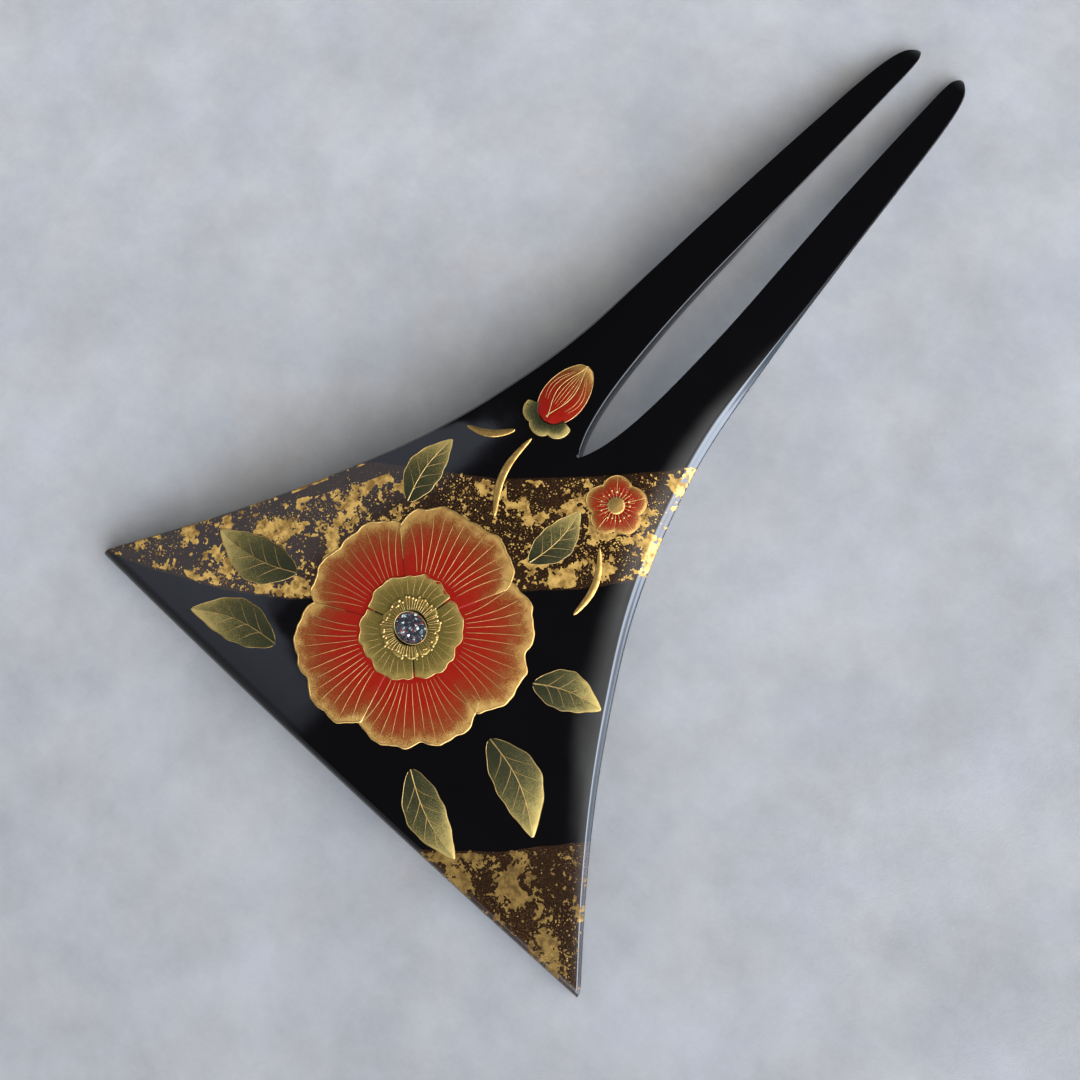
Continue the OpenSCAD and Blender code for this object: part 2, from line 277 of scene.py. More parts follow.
def squares(rows, cols, wanted=None):
    """The faces of a grid of points, or only those whose corners are all wanted."""
    faces = []
    for i in range(rows - 1):
        for j in range(cols - 1):
            corners = (i, j), (i + 1, j), (i + 1, j + 1), (i, j + 1)
            if wanted is None or all(wanted[corner] for corner in corners):
                faces.append([m * cols + n for m, n in corners])
    return faces


def outwards(obj):
    """Merges doubles and turns every face of a closed shell outwards."""
    work = bmesh.new()
    work.from_mesh(obj.data)
    bmesh.ops.remove_doubles(work, verts=work.verts, dist=1e-7)
    bmesh.ops.recalc_face_normals(work, faces=work.faces)
    work.to_mesh(obj.data)
    work.free()
    return obj


def carve_blade():
    """The whole blade as one closed skin."""
    count = len(SECTIONS)
    points = np.concatenate(RIGHT + LEFT)
    points[:, 2] -= level(points[:, 1])

    def at(half, i, j):
        shared = (i <= ROOT_ROW and j in (0, WALL)) or (i == ROOT_ROW and j > WALL)
        return (count * RING if half and not shared else 0) + i * RING + j

    faces = []
    for half in (0, 1):
        for i in range(count - 1):
            for j in range(RING):
                if i < ROOT_ROW and j >= WALL:
                    continue
                n = (j + 1) % RING
                faces.append((at(half, i, j), at(half, i, n), at(half, i + 1, n), at(half, i + 1, j)))
        faces.append([at(half, count - 1, j) for j in range(RING)])
    rim = [at(0, 0, j) for j in range(WALL + 1)] + [at(1, 0, j) for j in range(WALL - 1, 0, -1)]
    faces.append(rim)
    used = sorted({v for f in faces for v in f})
    new = {v: k for k, v in enumerate(used)}
    return outwards(make_mesh("lacquered_blade", points[used], [[new[v] for v in f] for f in faces]))


# How deep a raised piece is let into the face
BEDDED = 0.08


def lay(name, form, across, along, closed=False):
    """A piece of raised lacquer. form(a, v) gives x, y and the height above the face."""
    a = np.linspace(-1, 1, across + 1)
    if closed:
        a = a[:-1]
    v = np.linspace(0, 1, along + 1)
    a_grid, v_grid = np.meshgrid(a, v, indexing="ij")
    x, y, lift = (np.broadcast_to(c, a_grid.shape).ravel() for c in form(a_grid, v_grid))
    z = face_z(x, y)
    top = np.stack([x, y, z + lift], axis=1)
    bottom = np.stack([x, y, z - BEDDED], axis=1)
    side = np.full(a_grid.size, 0.5) if closed else (a_grid.ravel() + 1) / 2
    uv = np.stack([side, v_grid.ravel()], axis=1)
    rows, cols = a_grid.shape
    n = rows * cols
    faces = []
    for i in range(rows if closed else rows - 1):
        k = (i + 1) % rows
        for j in range(cols - 1):
            p, q, r, s = i * cols + j, k * cols + j, k * cols + j + 1, i * cols + j + 1
            faces += [(p, q, r, s), (n + p, n + s, n + r, n + q)]
        faces += [(i * cols, n + i * cols, n + k * cols, k * cols)]
        e = cols - 1
        faces += [(i * cols + e, k * cols + e, n + k * cols + e, n + i * cols + e)]
    if not closed:
        for i in (0, rows - 1):
            for j in range(cols - 1):
                p = i * cols + j
                faces += [(p, p + 1, n + p + 1, n + p)]
    return outwards(make_mesh(name, np.concatenate([top, bottom]), faces, np.concatenate([uv, uv])))


# ---------------------------------------------------------------- nodes and finishes
def plug(tree, node, socket, value):
    """Sets a node's input, or feeds it from another node's output."""
    entry = node.inputs[socket]
    if isinstance(value, bpy.types.NodeSocket):
        tree.links.new(value, entry)
    elif entry.type == "RGBA":
        entry.default_value = (*value, 1)
    else:
        entry.default_value = value


class Nodes:
    """Adds nodes to a tree by short calls, each of which gives back one output."""

    def __init__(self, tree):
        self.tree = tree

    def add(self, kind, feeds=None, out=0, **settings):
        """feeds holds what goes into the node's inputs, settings its own switches."""
        node = self.tree.nodes.new(kind)
        for key, value in settings.items():
            setattr(node, key, value)
        for socket, value in (feeds or {}).items():
            plug(self.tree, node, socket, value)
        return node.outputs[out]

    def math(self, kind, *values):
        return self.add("ShaderNodeMath", dict(enumerate(values)), operation=kind)

    def plus(self, total, *others):
        for other in others:
            total = self.math("ADD", total, other)
        return total

    def less(self, a, b):
        return self.math("SUBTRACT", a, b)

    def times(self, a, b):
        return self.math("MULTIPLY", a, b)

    def between(self, value, low, high, to_low=0.0, to_high=1.0, kind="SMOOTHSTEP"):
        return self.add("ShaderNodeMapRange", {0: value, 1: low, 2: high, 3: to_low, 4: to_high},
                        interpolation_type=kind)

    def axes(self, vector):
        """x, y and z of a vector."""
        return self.add("ShaderNodeSeparateXYZ", {0: vector}).node.outputs

    def vector(self, x, y, z):
        return self.add("ShaderNodeCombineXYZ", {0: x, 1: y, 2: z})

    def named(self, attribute):
        return self.add("GeometryNodeInputNamedAttribute", {"Name": attribute}, data_type="FLOAT")

    def draw(self, low, high, seed):
        """A random number from low to high for each point."""
        return self.add("FunctionNodeRandomValue", {2: low, 3: high, "Seed": seed}, out=1, data_type="FLOAT")

    def ramp(self, value, *stops):
        """Colours that change along a value; each stop is a place from 0 to 1 and a colour."""
        node = self.tree.nodes.new("ShaderNodeValToRGB")
        band = node.color_ramp
        while len(band.elements) < len(stops):
            band.elements.new(0.5)
        for element, (at, _) in zip(band.elements, stops):
            element.position = at
        for element, (_, colour) in zip(band.elements, stops):
            element.color = (*colour, 1)
        plug(self.tree, node, 0, value)
        return node.outputs[0]


class Finish(Nodes):
    """A Principled material with its patterns on the piece's own coordinates."""

    def __init__(self, name, colour, roughness, metallic=0.0, **plain):
        self.material = bpy.data.materials.new(name)
        self.material.use_nodes = True
        super().__init__(self.material.node_tree)
        self.wear(Base_Color=colour, Roughness=roughness, Metallic=metallic, **plain)

    def wear(self, **looks):
        """Sets or feeds the surface's own inputs; an underscore stands for a space."""
        for key, value in looks.items():
            plug(self.tree, self.tree.nodes["Principled BSDF"], key.replace("_", " "), value)

    def place(self):
        return self.add("ShaderNodeTexCoord", out="Object")

    def noise(self, size, detail=3.0, roughness=0.55):
        """Cloudy values from 0 to 1 whose clouds are about size millimetres wide."""
        return self.add("ShaderNodeTexNoise", {"Vector": self.place(), "Scale": 1 / (size * MM),
                                               "Detail": detail, "Roughness": roughness})

    def mix(self, share, a, b, blend="MIX"):
        return self.add("ShaderNodeMix", {0: share, 6: a, 7: b}, out=2, data_type="RGBA", blend_type=blend)

    def bump(self, height, depth):
        """depth is the height of a full step in millimetres."""
        self.wear(Normal=self.add("ShaderNodeBump", {"Distance": depth * MM, "Height": height}))

    def along(self):
        """How far along and across its own piece a point is, from 0 to 1."""
        across, along, _ = self.axes(self.add("ShaderNodeUVMap", uv_map="lay"))
        return along, across


# Mist bands: lines y(x) that bound them
MIST_TOP = [(-53, 22), (-38, 31), (-24, 41.1), (-13.3, 47.5), (-7.4, 51.1), (0.3, 57.7), (5.5, 62.5),
            (11.6, 68.7), (14.3, 72.5), (53, 110)]
MIST_LOW = [(-53, 0.2), (-48.6, 1.8), (-43.6, 3.7), (-32.9, 8.5), (-28.1, 11), (-20.6, 15.7),
            (13.3, 46.1), (19.5, 53.3), (53, 80)]
CORNER_TOP = [(-53, -60), (18.4, -0.9), (20.5, 0.9), (26.3, 5.7), (30.4, 9.2), (33.6, 13), (38.2, 18),
              (53, 34)]


def line_at(line, x):
    return np.interp(x, [p[0] for p in line], [p[1] for p in line])


def mist_depth(x, y):
    """How far inside a mist band a point is, in millimetres; below 0 it is outside."""
    band = np.minimum(line_at(MIST_TOP, x) - y, y - line_at(MIST_LOW, x))
    return np.maximum(band, line_at(CORNER_TOP, x) - y)


LINE_HIGH = 120.0


def line_nodes(finish, across, line):
    """The same line for a material: its y in metres at the across coordinate."""
    node = finish.tree.nodes.new("ShaderNodeFloatCurve")
    curve = node.mapping.curves[0]
    spots = [((x + HALF_HEAD) / (2 * HALF_HEAD), (y + LINE_HIGH / 2) / (2 * LINE_HIGH)) for x, y in line]
    for spot in spots[1:-1]:
        curve.points.new(*spot)
    curve.points[0].location = spots[0]
    curve.points[-1].location = spots[-1]
    for point in curve.points:
        point.handle_type = "VECTOR"
    node.mapping.update()
    share = finish.between(across, -HALF_HEAD * MM, HALF_HEAD * MM, kind="LINEAR")
    plug(finish.tree, node, "Value", share)
    low = (-LINE_HIGH / 2 - LENGTH / 2) * MM
    return finish.between(node.outputs[0], 0, 1, low, low + 2 * LINE_HIGH * MM, kind="LINEAR")


def black_lacquer():
    """Deep black polished lacquer, with the brown ground of the gold mist."""
    f = Finish("black_lacquer", (0.004, 0.004, 0.005), 0.06, IOR=1.53)
    across, along, _ = f.axes(f.place())
    along = f.plus(along, f.times(f.less(f.noise(2.2), 0.5), 0.5 * MM))
    top = f.less(line_nodes(f, across, MIST_TOP), along)
    low = f.less(along, line_nodes(f, across, MIST_LOW))
    corner = f.less(line_nodes(f, across, CORNER_TOP), along)
    inside = f.math("MAXIMUM", f.math("MINIMUM", top, low), corner)
    up = f.axes(f.add("ShaderNodeNewGeometry", out="Normal"))[2]
    mist = f.times(f.between(inside, -0.12 * MM, 0.12 * MM), f.between(up, 0.05, 0.35))
    patchy = f.between(f.noise(7.0, 3), 0.35, 0.65)
    powder = f.between(f.noise(0.16, 2, 0.7), 0.56, 0.66)
    powder = f.times(f.times(powder, f.between(patchy, 0.0, 1.0, 0.25, 0.75)), mist)
    ground = f.mix(f.noise(9.0, 2), (0.0080, 0.0032, 0.0016), (0.019, 0.0085, 0.0040))
    black = f.mix(f.noise(14.0, 2), (0.0010, 0.0009, 0.0012), (0.0020, 0.0016, 0.0019))
    colour = f.mix(f.times(powder, 0.26), f.mix(mist, black, ground), (0.40, 0.21, 0.06))
    haze = f.between(f.noise(5.0, 4), 0.3, 0.75, 0.045, 0.085)
    f.wear(Base_Color=colour, Roughness=f.plus(haze, f.times(mist, 0.04)), Metallic=f.times(powder, 0.25))
    wave = f.plus(f.noise(6.0, 1), f.times(f.noise(0.5, 2), 0.04))
    f.bump(f.plus(wave, f.times(powder, 0.08)), 0.03)
    return f.material


def grain(f, share, fine):
    """Sprinkled powder: share of the specks that show, from 0 to 1."""
    edge = f.between(share, 0, 1, 0.70, 0.28, kind="LINEAR")
    return f.between(f.less(f.noise(fine, 2, 0.6), edge), -0.05, 0.05)


def shaded_lacquer(name, ground, powder, gilding, rim_pull=0.0, half_shade=0.0, fine=0.15, thin=1.0):
    """A coloured ground that gold powder covers more and more towards the rim, thinly near the head."""
    f = Finish(name, (0.5, 0.1, 0.05), 0.4, IOR=1.5, Specular_IOR_Level=0.16)
    along, across = f.along()
    drift = f.times(f.less(f.noise(1.6, 3), 0.5), 0.28)
    side = f.math("ABSOLUTE", f.less(f.times(across, 2.0), 1.0))
    rim = f.times(f.math("POWER", side, 4.0), rim_pull)
    dark_half = f.between(across, 0.46, 0.54, -half_shade, 0.0)
    at = f.plus(f.plus(along, drift), f.plus(rim, dark_half))
    share = f.ramp(at, *[(p, (s, s, s)) for p, s in gilding])
    share = f.times(share, f.between(f.axes(f.place())[1], -0.068, -0.036, thin, 1.0))
    specks = grain(f, share, fine)
    rough = f.between(f.noise(0.8, 2), 0.3, 0.7, 0.29, 0.41)
    f.wear(Base_Color=f.mix(specks, f.ramp(at, *ground), f.ramp(at, *powder)),
           Metallic=f.times(specks, 0.6), Roughness=f.plus(rough, f.times(specks, 0.08)))
    f.bump(f.plus(f.times(specks, 0.5), f.noise(0.25, 2)), 0.012)
    return f.material


def gold(name, deep, bright, roughness, crinkle=0.02, size=1.4, metallic=0.95, painted_corner_shade=1.0, **plain):
    """Gold powder or leaf, with clouds of tone and a fine crinkle, and painted shade that darkens it towards
    the head's +x corner.
    """
    f = Finish(name, bright, roughness, metallic, **plain)
    tone = f.between(f.noise(size, 4, 0.6), 0.34, 0.66)
    fine = f.noise(0.12, 2, 0.6)
    colour = f.mix(f.times(tone, f.between(fine, 0.3, 0.6, 0.7, 1.0)), deep, bright)
    # Painted shade: towards the head's +x corner the colour is mixed towards black, keeping only the given
    # share of it
    if painted_corner_shade < 1:
        x, y, _ = f.axes(f.place())
        far = f.less(x, f.times(y, 0.5))
        colour = f.mix(f.between(far, 0.030, 0.050, 0.0, 1 - painted_corner_shade), colour, (0.0, 0.0, 0.0))
    f.wear(Base_Color=colour, Roughness=f.between(tone, 0, 1, roughness + 0.08, roughness - 0.04))
    f.bump(f.plus(f.noise(0.35, 3), f.times(fine, 0.4)), crinkle)
    return f.material


def crushed_shell():
    """Chips of blue-green shell under clear lacquer; each chip has its own tint."""
    f = Finish("crushed_shell", (0.3, 0.4, 0.5), 0.3, 0.0, IOR=1.5, Specular_IOR_Level=0.1)
    tint = f.add("ShaderNodeAttribute", out="Fac", attribute_name="tint")
    hue = f.ramp(tint, (0.0, (0.003, 0.004, 0.005)), (0.46, (0.007, 0.009, 0.012)),
                 (0.58, (0.02, 0.032, 0.036)), (0.68, (0.10, 0.14, 0.14)), (0.76, (0.60, 0.62, 0.58)),
                 (0.82, (0.03, 0.035, 0.045)), (0.90, (0.22, 0.018, 0.015)), (1.0, (0.004, 0.006, 0.007)))
    f.wear(Base_Color=f.mix(f.times(f.noise(0.4, 2), 0.04), hue, (0.7, 0.8, 0.9)))
    f.bump(f.noise(0.2, 2), 0.02)
    return f.material


def shell_bed():
    f = Finish("shell_bed", (0.02, 0.022, 0.03), 0.3, IOR=1.5, Specular_IOR_Level=0.1)
    f.wear(Base_Color=f.mix(f.noise(0.3, 3), (0.004, 0.005, 0.006), (0.018, 0.022, 0.026)))
    f.bump(f.noise(0.15, 2), 0.02)
    return f.material


def table_top():
    """A pale grey mottled surface, with painted light: its colour is made a little lighter towards the
    window.
    """
    f = Finish("table_top", (0.5, 0.5, 0.52), 0.62, IOR=1.45)
    fine = f.noise(0.8, 3, 0.6)
    tone = f.plus(f.times(f.noise(28.0, 3, 0.5), 0.45), f.times(f.noise(9.0, 4, 0.6), 0.33),
                  f.times(f.noise(2.6, 3, 0.6), 0.14), f.times(fine, 0.08))
    x, y, _ = f.axes(f.place())
    # Painted light falloff: the colour is scaled from 0.76 to 1.16 across the table, lighter towards the
    # window
    light = f.between(f.plus(f.times(x, -0.48), f.times(y, 0.83)), -0.2, 0.2, 0.76, 1.16, kind="LINEAR")
    warmth = f.between(f.noise(16.0, 3), 0.35, 0.65)
    stone = f.ramp(tone, (0.38, (0.245, 0.239, 0.234)), (0.50, (0.286, 0.278, 0.272)),
                   (0.62, (0.325, 0.318, 0.312)))
    stone = f.mix(0.05, stone, f.mix(warmth, (0.20, 0.28, 0.42), (0.42, 0.32, 0.24)))
    f.wear(Base_Color=f.mix(1.0, stone, light, blend="MULTIPLY"))
    f.bump(f.plus(fine, f.noise(0.25, 2)), 0.03)
    return f.material


# ---------------------------------------------------------------- growing trees
def growing_tree(name, sizes):
    """A Geometry Nodes group with a named input for each size."""
    group = bpy.data.node_groups.new(name, "GeometryNodeTree")
    kinds = {float: "NodeSocketFloat", int: "NodeSocketInt"}
    group.interface.new_socket("Geometry", in_out="INPUT", socket_type="NodeSocketGeometry")
    for label, value in sizes.items():
        kind = kinds.get(type(value), "NodeSocketMaterial")
        socket = group.interface.new_socket(label, in_out="INPUT", socket_type=kind)
        if type(value) in kinds:
            socket.default_value = value
    group.interface.new_socket("Geometry", in_out="OUTPUT", socket_type="NodeSocketGeometry")
    nodes = Nodes(group)
    given = group.nodes.new("NodeGroupInput").outputs
    end = group.nodes.new("NodeGroupOutput")

    def finish_with(geometry):
        real = nodes.add("GeometryNodeRealizeInstances", {"Geometry": geometry})
        dressed = nodes.add("GeometryNodeSetMaterial", {"Geometry": real, "Material": given["Material"]})
        plug(group, end, 0, dressed)
        return group
    return nodes, given, finish_with


def line_tree():
    """Turns drawn lines into raised strokes; the attribute swell thins and thickens them."""
    nodes, given, finish_with = growing_tree("raised_line", {"Line width": 0.0002, "Material": None})
    ring = nodes.add("GeometryNodeCurvePrimitiveCircle", {
        "Resolution": 6, "Radius": nodes.times(given["Line width"], 0.5)})
    tube = nodes.add("GeometryNodeCurveToMesh", {
        "Curve": nodes.add("GeometryNodeMeshToCurve", {"Mesh": given["Geometry"]}),
        "Profile Curve": ring, "Scale": nodes.named("swell"), "Fill Caps": True})
    return finish_with(nodes.add("GeometryNodeSetShadeSmooth", {"Geometry": tube}))


def flake_tree():
    """Sprinkles small low chips over a bed whose attribute dust says how densely."""
    nodes, given, finish_with = growing_tree(
        "sprinkled_flakes", {"Flakes": 1.0, "Flake size": 0.0002, "Flake depth": 0.16, "Tilt": 0.2,
                             "Seed": 1, "Material": None})
    spots = nodes.add("GeometryNodeDistributePointsOnFaces", {
        "Mesh": given["Geometry"], "Density": nodes.times(nodes.named("dust"), given["Flakes"]),
        "Seed": given["Seed"]})
    chip = nodes.add("GeometryNodeMeshCone", {
        "Vertices": 5, "Radius Top": 0.0, "Radius Bottom": 1.0, "Depth": given["Flake depth"]})
    cube = nodes.math("POWER", nodes.draw(0.0, 1.0, given["Seed"]), 3.0)
    size = nodes.times(nodes.math("MULTIPLY_ADD", cube, 1.4, 0.35), given["Flake size"])
    wide = nodes.times(size, nodes.draw(0.55, 1.3, 7))
    set_down = nodes.add("GeometryNodeInstanceOnPoints", {
        "Points": spots, "Instance": chip, "Rotation": spots.node.outputs["Rotation"],
        "Scale": nodes.vector(wide, size, size)})
    tilt = given["Tilt"]
    back = nodes.times(tilt, -1.0)
    spin = nodes.add("FunctionNodeRandomValue", {
        0: nodes.vector(back, back, 0.0), 1: nodes.vector(tilt, tilt, 2 * math.pi), "Seed": 11},
        data_type="FLOAT_VECTOR")
    turned = nodes.add("GeometryNodeRotateInstances", {
        "Instances": set_down, "Rotation": spin, "Local Space": True})
    return finish_with(nodes.add("GeometryNodeStoreNamedAttribute", {
        "Geometry": turned, "Name": "tint", "Value": nodes.draw(0.0, 1.0, 23)},
        data_type="FLOAT", domain="INSTANCE"))


def bead_tree():
    """Sets a small bead on every point of a mesh."""
    nodes, given, finish_with = growing_tree("beads", {"Bead size": 0.0003, "Seed": 1, "Material": None})
    bead = nodes.add("GeometryNodeMeshIcoSphere", {"Radius": 0.5, "Subdivisions": 2})
    size = nodes.times(nodes.draw(0.7, 1.25, given["Seed"]), given["Bead size"])
    set_down = nodes.add("GeometryNodeInstanceOnPoints", {
        "Points": given["Geometry"], "Instance": bead,
        "Scale": nodes.vector(size, size, nodes.times(size, 0.7))})
    real = nodes.add("GeometryNodeRealizeInstances", {"Geometry": set_down})
    return finish_with(nodes.add("GeometryNodeSetShadeSmooth", {"Geometry": real}))


def grow(obj, group, **sizes):
    """Runs a tree on an object once and keeps the plain mesh."""
    modifier = obj.modifiers.new(group.name, "NODES")
    modifier.node_group = group
    for item in group.interface.items_tree:
        key = item.name.replace(" ", "_").lower()
        if item.item_type == "SOCKET" and item.in_out == "INPUT" and key in sizes:
            modifier[item.identifier] = sizes[key]
    graph = bpy.context.evaluated_depsgraph_get()
    mesh = bpy.data.meshes.new_from_object(obj.evaluated_get(graph), preserve_all_data_layers=True,
                                           depsgraph=graph)
    obj.modifiers.clear()
    old = obj.data
    obj.data = mesh
    mesh.name = obj.name
    bpy.data.meshes.remove(old)
    return obj


LINES = line_tree()
FLAKES = flake_tree()
BEADS = bead_tree()


def coat(obj, material):
    obj.data.materials.clear()
    obj.data.materials.append(material)
    return obj


def belongs(obj, slot, *nodes):
    """The piece rides on the one body and stands for its CAD nodes, which it hides; slot is not used."""
    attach(obj, ROOT)
    if nodes:
        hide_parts(*nodes)
    return obj


class Strokes:
    """Gold lines drawn on the lacquer, grown together into one piece."""

    def __init__(self):
        self.points, self.edges, self.swell = [], [], []

    def draw(self, x, y, lift, swell):
        """One line through points on the face; swell is its width at each point, as a share."""
        x, y = np.atleast_1d(x), np.atleast_1d(y)
        z = face_z(x, y) + lift
        first = len(self.points)
        self.points += np.stack([x, y, np.broadcast_to(z, x.shape)], axis=1).tolist()
        self.edges += [(first + k, first + k + 1) for k in range(len(x) - 1)]
        self.swell += np.broadcast_to(swell, x.shape).tolist()

    def trace(self, form, a, v, swell, lift=0.0):
        """A line on a piece of raised lacquer, by the piece's own coordinates."""
        a, v = np.broadcast_arrays(np.asarray(a, float), np.asarray(v, float))
        x, y, height = form(a, v)
        self.draw(x, y, height + lift, swell)

    def raise_up(self, name, width, finish):
        """Grows the lines drawn so far into one gold piece."""
        obj = make_mesh(name, self.points, [])
        obj.data.edges.add(len(self.edges))
        obj.data.edges.foreach_set("vertices", np.array(self.edges).ravel())
        obj.data.update()
        note(obj, "swell", self.swell)
        grow(obj, LINES, line_width=width * MM, material=FINISH[finish])
        return belongs(obj, "gold_powder")


def lacquer(name, form, across, along, finish, slot, node, closed=False):
    """Lays, coats and places one piece of raised lacquer."""
    return belongs(coat(lay(name, form, across, along, closed=closed), FINISH[finish]), slot, node)


def crown(threads, tips, names, width, bead, seed):
    """Raises a ring of fine threads and sets a bead on the end of each."""
    threads.raise_up(names[0], width, "pale")
    beads = make_mesh(names[1], np.array(tips), [])
    grow(beads, BEADS, bead_size=bead * MM, seed=seed, material=FINISH["pale"])
    belongs(beads, "gold_powder")


# ---------------------------------------------------------------- forms of the picture
FLOWER = (-2.5, 25.0)
FLOWER_R = 19.5
PETAL_TURN = 100.0
PETAL_LENGTH = (1.00, 0.94, 0.99, 0.95, 1.00)
# How much higher each outer petal lies than the lowest one, so that they overlap
PETAL_STEP = (0.09, 0.0, 0.07, 0.02, 0.045)
PETAL_SPREAD, PETAL_START = 38.6, 6.4
INNER_SPREAD, INNER_R = 59.0, 8.5
STAMEN_R, STAMEN_START = 4.7, 2.7
STAMEN_THREADS, PLUM_THREADS = 54, 20
SHELL = (5.6, 4.6)
SHELL_LOW, SHELL_DOME = 0.20, 0.16
RIM_H, RELIEF_H = 0.07, 0.17
# Widths of the drawn lines and of the beads
VEIN_LINE, RIM_LINE, STAMEN_LINE, PLUM_LINE = 0.11, 0.17, 0.12, 0.10
STAMEN_BEAD, PLUM_BEAD = 0.42, 0.34
# Chips and flakes for each square metre
SHELL_CHIPS, MIST_FLAKES = 34e6, 9.0e6


def round_from(at, r, angle):
    """The point at a distance and an angle from a middle."""
    return at[0] + r * np.cos(angle), at[1] + r * np.sin(angle)


def petal_form(at, turn, spread, start, reach, shoulder, notch, frill, frills, low, high, phase=0.0):
    """A petal as a sector with round shoulders, a notch and a softly frilled rim."""
    def form(a, v):
        dip = shoulder * a ** 4 + notch * np.exp(-(a / 0.16) ** 2)
        wave = frill * (0.5 - 0.5 * np.cos(2 * np.pi * (frills * a / 2 + phase)))
        wave = wave + frill * 0.16 * np.sin(23 * a + 5 * phase) + frill * 0.12 * np.sin(41 * a + phase)
        r = start + (reach * (1 - dip - wave) - start) * v
        angle = np.radians(turn + a * spread)
        flute = 0.018 * np.cos(np.pi * a * 9 + 2.0 * v) * v
        swell = np.sin(np.pi * np.clip(0.12 + 0.80 * v, 0, 1)) ** 0.8 * (1 - 0.55 * a ** 4)
        return *round_from(at, r, angle), low + (high - low) * swell + flute
    return form


def leaf_form(base_x, base_y, turn, length, width, bend, fullness=0.9, low=RIM_H, high=RELIEF_H, rib=0.03,
              wave=0.03):
    """A leaf or stroke along a bent middle line."""
    way = math.radians(turn)
    side = way + math.pi / 2

    def form(a, u):
        wide = 0.16 + (width - 0.16) * np.sin(np.pi * np.clip(u, 0, 1) ** 0.85) ** fullness
        wide = wide * (1 + wave * np.sin(9 * np.pi * u) * np.abs(a))
        out = bend * np.sin(np.pi * u)
        x = base_x + u * length * math.cos(way) + (out + a * wide / 2) * math.cos(side)
        y = base_y + u * length * math.sin(way) + (out + a * wide / 2) * math.sin(side)
        return x, y, low + (high - low) * (1 - a * a) - rib * np.exp(-(a / 0.1) ** 2)
    return form


def lobed_form(at, start, reach, lobes, dip, low, high, turn=0.0):
    """A round flower or ring with soft lobes; a runs once round."""
    def form(a, v):
        angle = np.pi * a
        edge = reach * (1 - dip * (1 - np.abs(np.sin(lobes * (angle - turn) / 2))))
        r = start + (edge - start) * v
        crease = 0.08 * np.exp(-(np.sin(lobes * (angle - turn) / 2) / 0.18) ** 2) * v
        lift = low + (high - low) * np.sin(np.pi * np.clip(0.1 + 0.85 * v, 0, 1)) - crease
        return *round_from(at, r, angle), lift
    return form


def build_finishes():
    """Ground, powder and gilding of a shaded lacquer go from its root, 0, to its rim, 1."""
    return {
        "black": black_lacquer(),
        "red": shaded_lacquer(
            "red_gold_lacquer",
            [(0.0, (0.185, 0.0035, 0.0015)), (0.44, (0.190, 0.0060, 0.0018)), (0.74, (0.150, 0.0180, 0.0042)),
             (1.0, (0.150, 0.050, 0.012))],
            [(0.0, (0.25, 0.030, 0.006)), (0.55, (0.225, 0.052, 0.010)), (0.84, (0.26, 0.100, 0.023)),
             (1.0, (0.52, 0.30, 0.085))],
            [(0.0, 0.07), (0.42, 0.12), (0.68, 0.25), (0.86, 0.50), (0.96, 0.86), (1.0, 1.0)], rim_pull=0.12,
            thin=0.74),
        "olive": shaded_lacquer(
            "olive_gold_lacquer",
            [(0.0, (0.060, 0.044, 0.009)), (0.6, (0.085, 0.062, 0.012)), (1.0, (0.12, 0.088, 0.018))],
            [(0.0, (0.14, 0.093, 0.022)), (0.7, (0.19, 0.129, 0.030)), (1.0, (0.38, 0.26, 0.072))],
            [(0.0, 0.25), (0.5, 0.37), (0.9, 0.68), (1.0, 1.0)]),
        "leaf": shaded_lacquer(
            "leaf_lacquer",
            [(0.0, (0.014, 0.015, 0.006)), (0.5, (0.026, 0.025, 0.009)), (1.0, (0.09, 0.070, 0.020))],
            [(0.0, (0.09, 0.078, 0.028)), (0.6, (0.19, 0.150, 0.047)), (1.0, (0.52, 0.385, 0.125))],
            [(0.0, 0.08), (0.4, 0.27), (0.75, 0.64), (1.0, 1.0)], rim_pull=0.20, half_shade=0.16,
            fine=0.11),
        "gold": gold("gold_powder", (0.36, 0.20, 0.055), (0.70, 0.43, 0.13), 0.38, crinkle=0.012),
        # The torn leaf keeps 0.40 of its colour at the head's +x corner, as painted shade
        "leafing": gold("gold_leaf", (0.19, 0.100, 0.022), (0.57, 0.342, 0.091), 0.30, crinkle=0.02, size=1.1,
                        metallic=0.28, painted_corner_shade=0.40, Specular_IOR_Level=0.2),
        "pale": gold("pale_gold_line", (0.42, 0.26, 0.08), (0.68, 0.47, 0.18), 0.40, crinkle=0.008),
        "vein": gold("vein_gold", (0.36, 0.20, 0.06), (0.52, 0.31, 0.10), 0.42, crinkle=0.006, metallic=0.7),
        "shell": crushed_shell(),
        "bed": shell_bed(),
    }


FINISH = build_finishes()


def build_blade():
    belongs(coat(carve_blade(), FINISH["black"]), "black_lacquer", "body")


